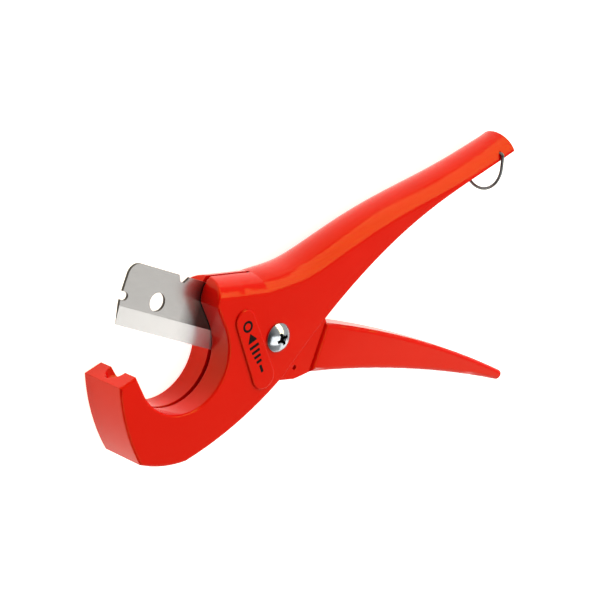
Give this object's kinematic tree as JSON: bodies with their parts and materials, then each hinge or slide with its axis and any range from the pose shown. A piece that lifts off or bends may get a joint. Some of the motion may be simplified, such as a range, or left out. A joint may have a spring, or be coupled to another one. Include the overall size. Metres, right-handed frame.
{
  "type": "plastic pipe cutter",
  "caption": "Hand shear for plastic pipe: a hooked frame with a handle, a pivoting lever that carries a flat blade, and a wire latch.",
  "frame": {"origin": "centre of the overall outline in X and Y, on the flat far side of the head that the tool lies on", "axes": "+X from the hook to the handle ends, +Y the way the upper handle stands off the lever, +Z out of the side that carries the pivot screw's head"},
  "size_m": [0.2082, 0.1096, 0.0255],
  "materials": {
    "paint": "gloss red enamel on a die casting",
    "blade_steel": "satin, brighter on the ground bevel",
    "bright_steel": "plain",
    "washer_steel": "rolled",
    "plated_steel": "bright plated",
    "spring_wire": "dark drawn wire",
    "nylon": "natural nylon"
  },
  "bodies": {
    "frame": {"frame_casting": "paint", "pivot_screw": "plated_steel", "pivot_nut": "plated_steel", "nut_lock_ring": "nylon", "spring_washer": "bright_steel", "thrust_washer_lower": "washer_steel", "thrust_washer_upper": "washer_steel"},
    "lever": {"lever_casting": "paint", "cutting_blade": "blade_steel", "blade_stop_pin": "paint"},
    "bail": {"latch_bail": "spring_wire"}
  },
  "joints": [
    {"name": "lever_pivot", "type": "hinge", "parent": "frame", "child": "lever", "pos_m": [-0.02912, -0.00299, 0.01125], "axis": [0, 0, 1], "range_deg": [-24.5, 34.2]},
    {"name": "bail_pivot", "type": "hinge", "parent": "frame", "child": "bail", "pos_m": [0.09528, 0.04781, 0.01125], "axis": [0, 0, 1], "range_deg": [0, 240]}
  ]
}
